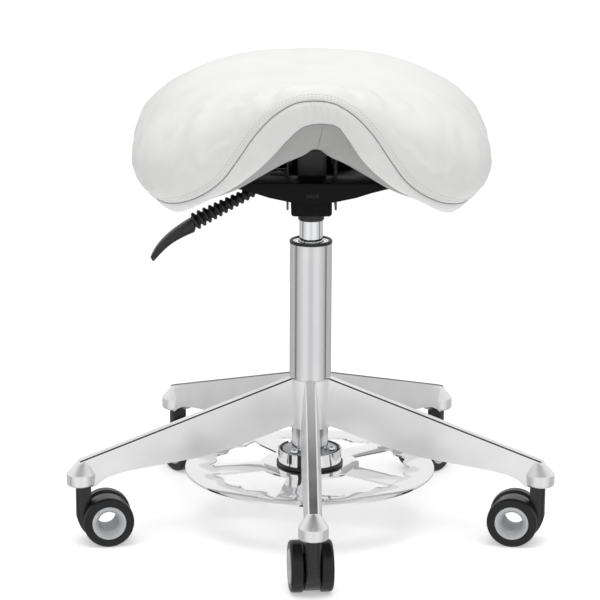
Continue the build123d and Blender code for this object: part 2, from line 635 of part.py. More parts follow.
def make_seat_cushion():
    """Saddle cushion, foam and cover as one plain solid that sits over the shell."""
    cushion = loft([cushion_section(*station) for station in CUSHION_STATIONS])
    return cushion - side_prism(arch_outline(SHELL_THICKNESS, SHELL_FOOT_Z - 50), SHELL_HALF_DEPTH)


# ---------------------------------------------------------------- write every node
save("star_base", make_star_base())
save("caster_stems", make_caster_stems())
save_casters()
save("column_tube", make_column_tube())
save("column_ring", make_column_ring())
save("column_washers", make_column_washers())
save("guide_bush", make_guide_bush())
save("gas_cylinder", make_gas_cylinder())
save("piston_rod", make_piston_rod())
save("thrust_bearing", make_thrust_bearing())
save("rod_clip", make_rod_clip())
save("foot_plate", make_foot_plate())
save("rocker_cup", make_rocker_cup())
save("rocker_band", make_rocker_band())
save("rocker_screws", make_rocker_screws())
save("release_flange", make_release_flange())
save("release_pin", make_release_pin())
save("socket_collar", make_socket_collar())
save("socket_block", make_socket_block())
save("mechanism_pan", make_mechanism_pan())
save("pivot_bracket", make_pivot_bracket())
save("tilt_pin", make_tilt_pin())
save("lever_pin", make_lever_pin())
save("lever_shaft", make_lever_shaft())
save("lever_sleeve", make_lever_sleeve())
save("lever_paddle", make_lever_paddle())
save("seat_bracket", make_seat_bracket())
save("seat_bolts", make_seat_bolts())
save("seat_shell", make_seat_shell())
save("seat_cushion", make_seat_cushion())
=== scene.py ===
"""Saddle stool: its looks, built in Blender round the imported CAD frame.

Everything is in metres in the frame's own axes: Z is up, the floor is Z = 0, the column stands on the Z axis
and -Y is the seat's front. Sizes are written in millimetres and multiplied by MM where they are used.
"""
import json
import logging
import math
from dataclasses import dataclass
from enum import Enum

import bmesh
import bpy
import numpy as np
from mathutils import Matrix, Vector
from mathutils.kdtree import KDTree

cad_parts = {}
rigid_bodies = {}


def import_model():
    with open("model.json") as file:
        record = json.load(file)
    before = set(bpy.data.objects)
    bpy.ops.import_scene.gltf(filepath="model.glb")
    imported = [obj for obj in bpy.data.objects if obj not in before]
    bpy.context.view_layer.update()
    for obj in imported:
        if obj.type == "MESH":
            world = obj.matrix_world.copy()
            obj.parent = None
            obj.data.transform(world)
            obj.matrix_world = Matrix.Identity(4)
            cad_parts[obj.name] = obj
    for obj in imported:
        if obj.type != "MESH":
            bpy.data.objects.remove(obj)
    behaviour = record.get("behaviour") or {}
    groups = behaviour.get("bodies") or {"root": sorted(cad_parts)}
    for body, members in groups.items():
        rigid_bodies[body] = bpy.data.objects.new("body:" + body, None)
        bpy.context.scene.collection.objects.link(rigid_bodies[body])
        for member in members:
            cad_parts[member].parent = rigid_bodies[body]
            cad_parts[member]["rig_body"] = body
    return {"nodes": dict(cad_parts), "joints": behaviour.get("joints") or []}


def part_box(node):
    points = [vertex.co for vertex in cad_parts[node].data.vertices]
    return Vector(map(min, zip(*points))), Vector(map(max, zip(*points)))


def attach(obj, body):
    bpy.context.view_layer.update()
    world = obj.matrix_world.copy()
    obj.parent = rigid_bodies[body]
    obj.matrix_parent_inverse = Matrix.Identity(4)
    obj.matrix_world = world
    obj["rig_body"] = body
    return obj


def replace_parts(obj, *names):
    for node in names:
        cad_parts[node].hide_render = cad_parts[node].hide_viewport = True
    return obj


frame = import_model()

MM = 0.001
WHITE = (1, 1, 1, 1)
LEG_COUNT = 5
WELD_MM = 0.004         # points of a CAD node closer than this are one point
FLAT_DEG = 0.6          # its faces within this angle are one flat face
SMOOTH_DEG = 40         # and its edges up to this angle are shaded smooth
log = logging.getLogger("saddle_stool")
Node, Socket = bpy.types.Node, bpy.types.NodeSocket
Mesh, Object, Material = bpy.types.Mesh, bpy.types.Object, bpy.types.Material
Array, Faces = np.ndarray, list[tuple]


# ---------- shader helpers
def linear(hex_colour: str) -> tuple[float, float, float, float]:
    """Turn an sRGB hex colour such as "#E6E6E4" into linear RGBA."""
    channels = [int(hex_colour[i:i + 2], 16) / 255 for i in (1, 3, 5)]
    return (*[c / 12.92 if c <= 0.04045 else ((c + 0.055) / 1.055) ** 2.4 for c in channels], 1.0)


class Graph:
    """The node tree of a material or a world, with short ways to add to it."""

    def __init__(self, owner: Material | bpy.types.World) -> None:
        """Start from an empty tree."""
        owner.use_nodes = True
        self.owner, self.tree = owner, owner.node_tree
        self.tree.nodes.clear()

    def add(self, kind: str, settings: dict | None = None, values: dict | None = None,
            links: dict | None = None) -> Node:
        """Add one shader node.

        Args:
            kind: the node's type name, without its "ShaderNode".
            settings: attributes of the node.
            values: fixed inputs, by name or index.
            links: what feeds the inputs, by name or index: a socket, or a node for its first output.

        Returns:
            The new node.
        """
        node = self.tree.nodes.new("ShaderNode" + kind)
        for name, value in (settings or {}).items():
            setattr(node, name, value)
        for key, value in (values or {}).items():
            node.inputs[key].default_value = value
        for key, source in (links or {}).items():
            self.tree.links.new(source.outputs[0] if isinstance(source, Node) else source, node.inputs[key])
        return node

    def patches(self, size_mm: float, stretch: tuple = (1, 1, 1), detail: float = 3.0,
                warp: float = 0.0) -> Node:
        """Add noise whose blotches have a real size.

        Args:
            size_mm: width of one blotch.
            stretch: how much longer a blotch is along X, Y and Z.
            detail: octaves of finer noise.
            warp: how far the noise bends itself.

        Returns:
            The noise node.
        """
        scaled = self.add("Mapping", values={"Scale": tuple(1 / s for s in stretch)},
                          links={"Vector": self.place()})
        return self.add("TexNoise", links={"Vector": scaled},
                        values={"Scale": 1 / (size_mm * MM), "Detail": detail, "Distortion": warp})

    def place(self) -> Socket:
        """Where on the object a point is, in metres."""
        return self.add("TexCoord").outputs["Object"]

    def spread(self, noise: Node, low: float, high: float) -> Node:
        """Spread a noise's middle range over two values."""
        return self.add("MapRange", values={"From Min": 0.3, "From Max": 0.7, "To Min": low, "To Max": high},
                        links={"Value": noise})

    def tinted(self, factor: Node, first: str, second: str) -> Socket:
        """Mix two hex colours: a factor of 0 gives the first, 1 the second."""
        return self.add("Mix", settings={"data_type": "RGBA"}, values={6: linear(first), 7: linear(second)},
                        links={0: factor}).outputs[2]

    def relief(self, height: Node | Socket, depth_mm: float, under: Node | None = None) -> Node:
        """Turn a height pattern from 0 to 1 into a bumped normal that lies on another one."""
        return self.add("Bump", values={"Strength": 1.0, "Distance": depth_mm * MM},
                        links={"Height": height} | ({"Normal": under} if under is not None else {}))

    def rounded(self, edge_mm: float) -> Node:
        """A normal that rounds the object's sharp edges."""
        return self.add("Bevel", settings={"samples": 6}, values={"Radius": edge_mm * MM})

    def principled(self, values: dict, colour: Socket, roughness: Node | None = None,
                   normal: Node | None = None) -> Material:
        """Finish a material with a principled shader.

        Args:
            values: fixed inputs of the shader.
            colour: its base colour.
            roughness: its roughness, unless that is fixed.
            normal: its normal, unless the surface is smooth.

        Returns:
            The material.
        """
        fed = {"Base Color": colour, "Roughness": roughness, "Normal": normal}
        links = {name: source for name, source in fed.items() if source is not None}
        shader = self.add("BsdfPrincipled", values=values, links=links)
        self.add("OutputMaterial", links={"Surface": shader})
        return self.owner


# ---------- finishes
class Marks(Enum):
    """The marks that making a metal part leaves, as stretches of its noise along X, Y and Z."""

    BUFFED = (1.0, 1.0, 1.0)
    TURNED = (60.0, 60.0, 1.0)


@dataclass(frozen=True)
class Finish:
    """A surface whose colour varies a little between two close tints."""

    name: str
    colour: str
    shade: str

    def tint(self, graph: Graph, noise: Node) -> Socket:
        """Spread the tints over a noise."""
        return graph.tinted(graph.spread(noise, 0, 1), self.colour, self.shade)


@dataclass(frozen=True)
class Metal(Finish):
    """A bare metal surface: its maker's marks catch the light."""

    roughness: float
    marks: Marks = Marks.BUFFED
    mark_mm: float = 1.2
    depth_mm: float = 0.002
    edge_mm: float = 0.35

    def fill(self, graph: Graph) -> Material:
        """Build the material."""
        broad, fine = graph.patches(45.0), graph.patches(self.mark_mm, self.marks.value)
        return graph.principled(
            {"Metallic": 1.0}, self.tint(graph, broad),
            graph.spread(fine, 0.85 * self.roughness, 1.2 * self.roughness),
            graph.relief(fine, self.depth_mm, graph.rounded(self.edge_mm)))


@dataclass(frozen=True)
class Moulded(Finish):
    """Moulded plastic or rubber: the mould leaves a fine even grain, and handling a faint mottle."""

    roughness: float
    grain_mm: float = 0.9
    depth_mm: float = 0.02
    edge_mm: float = 0.4
    specular: float = 0.5

    def fill(self, graph: Graph) -> Material:
        """Build the material."""
        broad, grain = graph.patches(22.0), graph.patches(self.grain_mm, detail=1.0)
        return graph.principled(
            {"IOR": 1.5, "Specular IOR Level": self.specular},
            self.tint(graph, broad),
            graph.spread(broad, 0.9 * self.roughness, 1.12 * self.roughness),
            graph.relief(grain, self.depth_mm, graph.rounded(self.edge_mm)))


@dataclass(frozen=True)
class FauxLeather(Finish):
    """PVC-coated upholstery cloth: soft sheen over an embossed pebble grain, faintly mottled."""

    roughness: float = 0.46
    pebble_mm: float = 1.6          # the real pebble is about 1 mm, drawn coarser so that it shows
    depth_mm: float = 0.05
    crease_depth_mm: float = 0.5

    def fill(self, graph: Graph) -> Material:
        """Build the material."""
        pebbles = graph.add("TexVoronoi", settings={"feature": "SMOOTH_F1"},
                            values={"Scale": 1 / (self.pebble_mm * MM), "Smoothness": 0.6},
                            links={"Vector": graph.place()})
        broad, pores = graph.patches(70.0, detail=4.0), graph.patches(0.7, detail=2.0)
        creases = graph.patches(26.0, (1.0, 2.6, 1.0), detail=5.0, warp=0.6)
        soft = graph.relief(creases, self.crease_depth_mm)
        grain = graph.relief(pebbles.outputs["Distance"], self.depth_mm, soft)
        return graph.principled(
            {"IOR": 1.48, "Specular IOR Level": 0.45, "Sheen Weight": 0.06, "Sheen Roughness": 0.4},
            self.tint(graph, broad),
            graph.spread(pores, 0.92 * self.roughness, 1.1 * self.roughness),
            graph.relief(pores, 0.4 * self.depth_mm, grain))


@dataclass(frozen=True)
class Plywood(Finish):
    """Birch plywood in two tints: streaks along the face and thin veneer lines through the thickness."""

    veneer_mm: float = 1.5
    depth_mm: float = 0.06

    def fill(self, graph: Graph) -> Material:
        """Build the material."""
        streaks = graph.patches(2.2, (1, 22, 1), detail=5.0, warp=0.4)
        layers = graph.add("TexWave", settings={"bands_direction": "Z"},
                           values={"Scale": 1 / (20 * self.veneer_mm * MM), "Distortion": 0.6},
                           links={"Vector": graph.place()})
        mix = graph.add("Math", settings={"operation": "MULTIPLY"},
                        links={0: streaks, 1: layers.outputs["Fac"]})
        return graph.principled(
            {"IOR": 1.5, "Specular IOR Level": 0.3}, graph.tinted(mix, self.colour, self.shade),
            graph.spread(streaks, 0.5, 0.68), graph.relief(streaks, self.depth_mm))


# Cast aluminium, milled flat and buffed: pale, with reflections too soft to make out.
POLISHED_ALUMINIUM = Metal("mirror_aluminium", "#F0F0F0", "#ECECED", 0.38, mark_mm=40.0, depth_mm=0.006,
                           edge_mm=0.5)
# Painted shade: the same casting, darker and duller, painted on the long rounded edges under the side legs'
# ridges to stand in for the shadow line there.
PAINTED_SHADE_ALUMINIUM = Metal("painted_shade_line_aluminium", "#5C5C5D", "#525253", 0.4, mark_mm=3.0, depth_mm=0.01,
                             edge_mm=0.3)
# Drawn steel tube, ground round and round: a satin sheen that smears highlights along the tube.
SATIN_STEEL = Metal("satin_steel_tube", "#DEDEDF", "#D8D8DA", 0.16, Marks.TURNED, 0.5, 0.0015)
# Hard-chromed cylinder: the sharpest mirror on the stool.
CHROME = Metal("hard_chrome", "#EEEFF0", "#E9EAEB", 0.06, Marks.TURNED, 0.6, 0.001, 0.2)
# Stamped stainless steel, belt-polished after bending.
POLISHED_STEEL = Metal("polished_stainless", "#EFEFEF", "#EAEAEB", 0.07, mark_mm=30.0, depth_mm=0.008,
                       edge_mm=0.3)
# Turned mild steel with a thin zinc coat: duller and slightly blue.
ZINC_STEEL = Metal("zinc_plated_steel", "#B9BBBE", "#A9ACB0", 0.34, Marks.TURNED, 0.5, 0.006)
# Glass-filled nylon, black: a low sheen over fine mould grain. The caster housings are glossier.
BLACK_NYLON = Moulded("nylon_black", "#171718", "#1F1F20", 0.42)
CASTER_NYLON = Moulded("nylon_caster", "#101011", "#161617", 0.26, 1.2, 0.01)
# Stoved enamel on pressed steel: smooth, with a slight orange peel.
BLACK_ENAMEL = Moulded("enamel_black", "#0B0B0C", "#101011", 0.45, 2.4, 0.02, 0.6, 0.13)
# The same enamel on the folded brackets, in a lighter grey.
BRACKET_ENAMEL = Moulded("bracket_enamel", "#545455", "#5E5E5F", 0.38, 2.4, 0.02, 0.5, 0.4)
# Soft polyurethane tread: black, with a low gloss.
TREAD_RUBBER = Moulded("tread_polyurethane", "#0C0C0D", "#131314", 0.30, 1.4, 0.02, 0.6, 0.35)
# Light grey polypropylene of the wheel hubs.
HUB_GREY = Moulded("hub_polypropylene", "#BEC0C2", "#B4B6B9", 0.38, 1.4, 0.01)
# Natural acetal of the guide bush.
ACETAL = Moulded("acetal_bush", "#D8D6CF", "#CFCDC6", 0.4)
WHITE_LEATHER = FauxLeather("white_faux_leather", "#F4F4F3", "#EEEEED")
# Painted shade: the same white faux leather in a darker grey for the under panel, standing in for the shade
# under the seat.
PAINTED_SHADE_UNDER_LEATHER = FauxLeather("painted_shade_under_leather", "#B3B3B2", "#A7A7A6", 0.5, 1.4, 0.06)
# Twisted polyester thread and piping core. The piping is real, but its grey is painted shade for the thin
# shadow line in the seams.
THREAD = Moulded("polyester_thread", "#D2D2D1", "#DADAD9", 0.6, 0.5, 0.05)
PAINTED_SHADE_PIPING = Moulded("seam_piping_painted_shade", "#8C8C8E", "#99999B", 0.5, 0.8, 0.04)
# Painted shade: the seat shell's birch ply is tinted near-black to stand in for the shade inside the arch
# under the seat.
PAINTED_SHADE_PLY = Plywood("painted_shade_birch_ply", "#19181A", "#2A2725")


def material_of(finish: Finish) -> Material:
    """The material of a finish, made the first time it is asked for."""
    return bpy.data.materials.get(finish.name) or finish.fill(Graph(bpy.data.materials.new(finish.name)))


# ---------- mesh helpers
def linked(name: str, data: bpy.types.ID) -> Object:
    """Make an object of some data and put it in the scene."""
    made = bpy.data.objects.new(name, data)
    bpy.context.scene.collection.objects.link(made)
    return made


def smooth_mesh(mesh: Mesh, finish: Finish) -> None:
    """Shade a mesh smooth and give it its finish."""
    mesh.polygons.foreach_set("use_smooth", [True] * len(mesh.polygons))
    mesh.materials.append(material_of(finish))


def mesh_of(name: str, vertices: list | Array, faces: Faces) -> Mesh:
    """Make a mesh from points in metres and faces."""
    mesh = bpy.data.meshes.new(name)
    mesh.from_pydata([tuple(v) for v in vertices], [], [tuple(f) for f in faces])
    return mesh


def add_piece(name: str, vertices: list | Array, faces: Faces, finish: Finish, body: str) -> Object:
    """Make a smooth-shaded piece that rides on a body.

    Args:
        name: the piece's name.
        vertices: its points, in metres.
        faces: its faces as vertex indices.
        finish: its finish.
        body: the CAD body it moves with.

    Returns:
        The new piece.
    """
    mesh = mesh_of(name, vertices, faces)
    mesh.update()
    smooth_mesh(mesh, finish)
    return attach(linked(name, mesh), body)


def recalculated(mesh: Mesh) -> None:
    """Drop a closed mesh's loose points, and point all of its faces outwards."""
    shape = bmesh.new()
    shape.from_mesh(mesh)
    bmesh.ops.delete(shape, geom=[v for v in shape.verts if not v.link_faces], context="VERTS")
    bmesh.ops.recalc_face_normals(shape, faces=shape.faces)
    shape.to_mesh(mesh)
    shape.free()


def ring_faces(first: int, second: int, sides: int) -> Faces:
    """The faces between two rings of points, given each ring's first index."""
    return [(first + k, first + (k + 1) % sides, second + (k + 1) % sides, second + k) for k in range(sides)]


def swept(points: Array, radii: float | Array, sides: int, closed: bool, up: Vector) -> tuple[list, list]:
    """Run a round tube along a line of points.

    Args:
        points: the line, in metres.
        radii: one radius, or one for each point.
        sides: corners of the tube's section.
        closed: whether the line joins its own start.
        up: a direction that is never along the line.

    Returns:
        The tube's vertices and faces.
    """
    count = len(points)
    radii = [float(r) for r in np.broadcast_to(radii, count)]
    vertices, faces = [], []
    for i, point in enumerate(points):
        after = points[(i + 1) % count] if closed or i + 1 < count else point
        before = points[i - 1] if closed or i else point
        along = Vector(after - before).normalized()
        side = along.cross(up).normalized()
        rise = side.cross(along)
        for k in range(sides):
            angle = 2 * math.pi * k / sides
            vertices.append(Vector(point) + radii[i] * (math.cos(angle) * side + math.sin(angle) * rise))
    for i in range(count if closed else count - 1):
        faces += ring_faces(i * sides, (i + 1) % count * sides, sides)
    if not closed:
        faces += [tuple(range(sides))[::-1], tuple(range((count - 1) * sides, count * sides))]
    return vertices, faces


def turned(outline: list[tuple[float, float]], segments: int, place: Matrix) -> tuple[list, list]:
    """Turn a closed section about a local Z axis.

    Args:
        outline: (radius, height) points of the section, in millimetres.
        segments: steps round the axis.
        place: where the local axes stand in the frame.

    Returns:
        The ring's vertices and faces.
    """
    vertices, faces = [], []
    for i, (radius, height) in enumerate(outline):
        for k in range(segments):
            angle = 2 * math.pi * k / segments
            vertices.append(place @ Vector((radius * math.cos(angle), radius * math.sin(angle), height)) * MM)
        if i:
            faces += ring_faces((i - 1) * segments, i * segments, segments)
    return vertices, faces


def broken_edges(node: str, finish: Finish, edge_mm: float, sharp_deg: float = 28.0) -> Object:
    """Let a copy of a CAD node with rounded edges stand for the node.

    Args:
        node: the CAD node.
        finish: the copy's finish.
        edge_mm: width of the rounding.
        sharp_deg: edges sharper than this are rounded.

    Returns:
        The new piece.
    """
    source = frame["nodes"][node]
    mesh = bpy.data.meshes.new(node + "_finished")
    shape = bmesh.new()
    shape.from_mesh(source.data)
    bmesh.ops.remove_doubles(shape, verts=shape.verts, dist=WELD_MM * MM)
    bmesh.ops.dissolve_limit(shape, angle_limit=math.radians(FLAT_DEG), verts=shape.verts, edges=shape.edges)
    sharp = math.radians(sharp_deg)
    edges = [e for e in shape.edges if len(e.link_faces) == 2 and e.calc_face_angle(0.0) > sharp]
    bmesh.ops.bevel(shape, geom=edges, offset=edge_mm * MM, segments=2, profile=0.6, affect="EDGES",
                    clamp_overlap=True)
    bmesh.ops.triangulate(shape, faces=[f for f in shape.faces if len(f.verts) > 4])
    shape.to_mesh(mesh)
    shape.free()
    smooth_mesh(mesh, finish)
    mesh.set_sharp_from_angle(angle=math.radians(SMOOTH_DEG))
    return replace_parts(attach(linked(mesh.name, mesh), source["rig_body"]), node)


def dress(node: str, finish: Finish) -> None:
    """Give a CAD node its finish, on its object's own material slot."""
    materials = frame["nodes"][node].data.materials
    materials.clear()
    materials.append(material_of(finish))


def dress_all(finishes: dict[str, Finish]) -> None:
    """Give several CAD nodes their finishes."""
    for node, finish in finishes.items():
        dress(node, finish)
    log.info("dressed %s", ", ".join(finishes))


# ---------- smooth curves through points
def smooth_line(points: Array, steps: list[int], before: Array, after: Array) -> Array:
    """Finer points of a smooth curve through the given ones, along the first axis.

    Args:
        points: the given points.
        steps: how many steps each span gets.
        before: the point before the first one, which sets the first tangent.
        after: the point after the last one, which sets the last tangent.

    Returns:
        The finer points, the given ones among them.
    """
    line = np.concatenate([before[None], points, after[None]])
    span = np.maximum(np.linalg.norm(np.diff(line, axis=0), axis=-1, keepdims=True), 1e-6)
    slope = np.diff(line, axis=0) / span
    tangent = (slope[:-1] * span[1:] + slope[1:] * span[:-1]) / (span[1:] + span[:-1])
    span = span[1:-1]
    fine = []
    for i, count in enumerate(steps):
        for t in np.arange(count) / count:
            fine.append((2 * t**3 - 3 * t**2 + 1) * points[i] + (t**3 - 2 * t**2 + t) * span[i] * tangent[i]
                        + (3 * t**2 - 2 * t**3) * points[i + 1] + (t**3 - t**2) * span[i] * tangent[i + 1])
    return np.array([*fine, points[-1]])


def distance_along(line: Array) -> Array:
    """How far along a line each of its points lies."""
    return np.concatenate([[0], np.cumsum(np.linalg.norm(np.diff(line, axis=0), axis=1))])


def point_tree(points: Array) -> KDTree:
    """A search tree over points."""
    tree = KDTree(len(points))
    for i, point in enumerate(points):
        tree.insert(point, i)
    tree.balance()
    return tree


def ease(value: Array) -> Array:
    """A smooth step from 0 to 1."""
    value = np.clip(value, 0, 1)
    return value * value * (3 - 2 * value)


# ---------- the saddle seat
# Half of the cover, front centre to rear centre. Each entry is one line over the seat, as (X, Y, Z) in
# millimetres: where it starts on the spine (Y, Z), then the top, the shoulder, the widest side, the seam, the
# band's fold, the rim of the underside and the inner wall's top.
COVER_LINES = (
    ((-128, 557), (0, -136, 560), (0, -158, 565), (0, -178, 562),
     (0, -187, 553), (0, -187, 526), (0, -150, 491), (0, -121, 490)),
    ((-125, 557), (12, -132, 560), (22, -155, 563.5), (24, -177, 559),
     (20, -187, 550.5), (18, -187, 523), (4, -150, 490), (6, -121, 490)),
    ((-121, 557), (26, -125, 558), (45, -150, 557), (50, -174, 548),
     (43, -185, 537), (32, -184, 509), (12, -150, 484), (16, -121, 489)),
    ((-116, 557), (38, -116, 556), (70, -142, 548), (78, -170, 530),
     (64, -181, 515), (48, -180, 488), (33, -150, 474), (36, -121, 489)),
    ((-110, 556), (50, -108, 554), (92, -134, 537), (110, -162, 505),
     (87, -176, 481), (72, -173, 463), (60, -150, 460), (68, -121, 487)),
    ((-103, 555), (60, -96, 553), (114, -116, 532), (144, -146, 490),
     (104, -171, 457.5), (95, -166, 445), (90, -150, 446), (104, -122, 468)),
    ((-95, 554), (67, -84, 552), (136, -92, 526), (172, -124, 476),
     (120, -164, 443), (114, -158, 434), (112, -146, 440), (122, -122, 452)),
    ((-85, 553), (74, -70, 552), (153, -66, 520), (192, -96, 469),
     (145, -148, 428), (140, -140, 417.4), (134, -128, 428), (129, -121, 438)),
    ((-70, 553), (78, -52, 553), (163, -44, 517), (205, -62, 460),
     (166, -122, 420), (154, -112, 407.8), (138, -102, 422), (129, -98, 436)),
    ((-50, 552), (80, -34, 553), (167, -20, 516), (210, -28, 456),
     (181, -85, 417), (162, -80, 405.2), (138, -76, 422), (129, -76, 436)),
    ((-24, 551), (81, -10, 553), (169, 6, 518), (212, 6, 455),
     (188, -40, 417), (165, -38, 404.6), (138, -38, 422), (129, -38, 436)),
    ((6, 552), (80, 16, 554.5), (169, 32, 521), (212, 40, 459),
     (190, 10, 419), (166, 10, 405.6), (138, 10, 422), (129, 10, 436)),
    ((36, 553), (76, 44, 557), (164, 60, 525), (209, 74, 468),
     (187, 60, 424), (163, 58, 411.2), (136, 54, 425), (129, 54, 438)),
    ((64, 555), (70, 72, 558), (154, 88, 529), (200, 108, 481),
     (176, 108, 434), (154, 104, 420.8), (133, 92, 431), (129, 90, 441)),
    ((86, 557), (62, 94, 558), (135, 118, 533), (179, 144, 496),
     (153, 146, 450), (136, 138, 437.4), (122, 126, 443), (114, 122, 453)),
    ((100, 558), (48, 112, 556), (108, 142, 536), (142, 168, 510),
     (120, 170, 470), (108, 160, 457), (92, 140, 457), (86, 124, 469)),
    ((112, 558), (34, 124, 554), (74, 156, 537), (96, 182, 517),
     (80, 182, 490), (72, 172, 476), (60, 148, 470), (54, 124, 485)),
    ((120, 557), (17, 132, 553), (38, 163, 538.5), (48, 189, 522),
     (40, 187, 504), (36, 178, 490), (30, 154, 482), (26, 124, 489)),
    ((126, 556), (0, 136, 552), (0, 166, 538), (0, 191, 524),
     (0, 189, 508), (0, 180, 494), (0, 155, 485), (0, 124, 490)),
)


class Row(Enum):
    """The cover's rows, from the spine down and inwards: each one's order, and the steps to the next one."""

    SPINE = (0, 16)
    TOP = (1, 16)
    SHOULDER = (2, 16)
    SIDE = (3, 16)
    SEAM = (4, 7)
    BAND = (5, 7)
    FOLD = (6, 4)
    UNDER = (7, 4)
    RIM = (8, 4)
    WALL = (9, 3)
    HAUNCH = (10, 4)
    CROWN = (11, 4)
    ROOF = (12, 0)


# One crease is its two ends as (X, Y, Z) in millimetres, its depth and its half width.
COVER_CREASES = (
    ((-166, -150, 506), (-180, -140, 490), 1.0, 3.0),
    ((-172, -146, 490), (-187, -128, 464), 0.9, 3.5),
    ((-182, -120, 470), (-196, -96, 446), 0.7, 3.0),
    ((126, -64, 524), (164, -50, 509), 0.5, 4.5),
    ((-30, -96, 556), (44, -98, 557), 0.6, 9.0),
    ((60, -104, 555), (104, -70, 541), 0.5, 8.0),
    ((-62, -104, 555), (-106, -66, 541), 0.5, 8.0),
    ((150, 60, 522), (186, 92, 487), 0.8, 4.0),
    ((-146, 74, 521), (-180, 100, 488), 0.8, 4.0),
)


@dataclass
class SaddleSeat:
    """The upholstery: a top panel, a side band and an under panel sewn over foam, piped and topstitched."""

    bulge_mm: float = 3.0           # how far the band and the under panel belly out
    apex_lean_mm: float = 8.0       # the folded apex of the arch sits to the sitter's left
    shrink_mm: float = 2.5          # the simulated copy starts this much smaller than the cover
    swell_cap_mm: float = 5.0       # and swells by less than this
    patch_steps: int = 6            # wrinkles wider than about twice this many grid steps are smoothed away
    voxel_mm: float = 5.0
    groove_mm: float = 1.4
    groove_reach_mm: float = 2.4
    gather_mm: float = 1.9
    gather_pitch_mm: float = 9.0
    gather_reach_mm: float = 30.0
    gather_fade_mm: float = 26.0    # how far down the band the pleats last
    second_gather_mm: float = -62.0     # a smaller bunch of pleats lies here
    stitch_rows_mm: tuple[float, float] = (5.0, 8.2)
    stitch_pitch_mm: float = 4.3
    stitch_mm: float = 3.1
    thread_mm: float = 0.7
    piping_mm: float = 1.1
    perimeter_steps: int = 10
    apex_reach_mm: float = 55.0     # how far from the middle the apex's lean is felt
    hem_mm: float = 22.0            # the cover is held down for this far above the seam
    cloth_frames: int = 20
    # The shell's section: shares of its half width, and the drop of its outer face there in millimetres.
    shell_bends: tuple = ((0.0, 0.0), (0.53, 0.0), (0.89, 29.0), (1.0, 55.0))

    def build(self) -> None:
        """Make the cover and everything sewn on it."""
        grid = self.grid()
        faces = self.faces(grid)
        grid = self.inflated(grid, faces)
        grid = self.sewn(grid, faces)
        cover = self.add_cover(grid, faces)
        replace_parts(cover, "seat_cushion")
        normals = self.normals(grid, faces)
        self.add_piping(grid, normals)
        self.add_fold_seams(grid, normals)
        for number, offset in enumerate(self.stitch_rows_mm, 1):
            self.add_stitches(f"topstitch_row_{number}", grid, normals, offset)
        # painted shade: the shell takes the near-black ply
        dress("seat_shell", PAINTED_SHADE_PLY)
        log.info("seat cover of %d points, with piping and topstitch", grid.shape[0] * grid.shape[1])

    def shell_height(self, x: Array) -> Array:
        """Height of the shell's outer face at a distance from the middle, in millimetres."""
        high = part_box("seat_shell")[1] / MM
        shares, drops = np.array(self.shell_bends).T
        return np.interp(x, shares * high.x, high.z - drops)

    def control_rows(self) -> Array:
        """The cover's control points by row and line, all the way round, in millimetres."""
        half = []
        for (spine_y, spine_z), *points in COVER_LINES:
            spine, top, shoulder, side, seam, fold, rim, wall = (
                np.array(p, float) for p in ((0, spine_y, spine_z), *points))
            band, under = (seam + fold) / 2, (fold + rim) / 2
            for point in (band, under):
                away = point - shoulder
                point += self.bulge_mm * away / np.linalg.norm(away)
            haunch = np.array([0.9 * wall[0], 0.985 * wall[1], self.shell_height(0.9 * wall[0]) + 2])
            crown = np.array([0.5 * wall[0], 0.5 * (wall[1] + spine_y), self.shell_height(0.5 * wall[0]) + 3])
            roof = np.array([0, 0.95 * spine_y, self.shell_height(0) + 3])
            lean = self.apex_lean_mm * math.exp(-(seam[0] / self.apex_reach_mm) ** 2) * (seam[1] < 0)
            for point, share in ((band, 0.5), (fold, 1.0), (under, 0.8), (rim, 0.5)):
                point[0] += lean * share
            half.append([spine, top, shoulder, side, seam, band, fold, under, rim, wall, haunch, crown, roof])
        half = np.array(half).transpose(1, 0, 2)
        mirrored = half[:, -2:0:-1] * (-1, 1, 1)
        seam_x, seam_y = mirrored[4, :, 0].copy(), mirrored[4, :, 1]
        felt = np.exp(-(seam_x / self.apex_reach_mm) ** 2) * (seam_y < 0)
        mirrored[:, :, 0] += 2 * half[:, 0, 0][:, None] * felt
        return np.concatenate([half, mirrored], axis=1)

    def grid(self) -> Array:
        """The cover's fine points by row and by place round the perimeter, in metres."""
        rows = self.control_rows()
        lines = np.swapaxes(rows, 0, 1)
        steps = [self.perimeter_steps] * len(lines)
        around = smooth_line(np.concatenate([lines, lines[:1]]), steps, lines[-1], lines[1])[:-1]
        rings = np.swapaxes(around, 0, 1)
        flip = np.array((-1, 1, 1))
        steps = [row.value[1] for row in Row if row is not Row.ROOF]
        return smooth_line(rings, steps, rings[1] * flip, rings[-2] * flip) * MM

    def row_index(self, row: Row) -> int:
        """Where a control row lies among the fine rows."""
        return sum(steps for order, steps in (r.value for r in Row) if order < row.value[0])

    def vertex(self, row: int, place: int, shape: tuple) -> int:
        """The index of a fine point; the two ends' rows are shared by both halves."""
        place %= shape[1]
        if row in (0, shape[0] - 1):
            place = min(place, shape[1] - place)
        return row * shape[1] + place

    def faces(self, grid: Array) -> Faces:
        """Four-sided faces over the grid, facing outwards."""
        rows, places = grid.shape[:2]
        faces = []
        for r in range(rows - 1):
            for p in range(places):
                corners = (self.vertex(r + i, p + k, grid.shape) for i, k in ((0, 0), (1, 0), (1, 1), (0, 1)))
                faces.append(tuple(dict.fromkeys(corners)))
        return faces

    def normals(self, grid: Array, faces: Faces) -> Array:
        """Outward directions at the fine points."""
        points = grid.reshape(-1, 3)
        total = np.zeros_like(points)
        quads = np.array([f for f in faces if len(f) == 4])
        cross = np.cross(points[quads[:, 2]] - points[quads[:, 0]], points[quads[:, 3]] - points[quads[:, 1]])
        for corner in range(4):
            np.add.at(total, quads[:, corner], cross)
        total = total.reshape(grid.shape)
        places = np.arange(grid.shape[1])
        for row in (0, -1):
            total[row] = total[row] + total[row, -places]
            total[row] = total[row, np.minimum(places, len(places) - places)]
        return total / np.maximum(np.linalg.norm(total, axis=-1, keepdims=True), 1e-12)

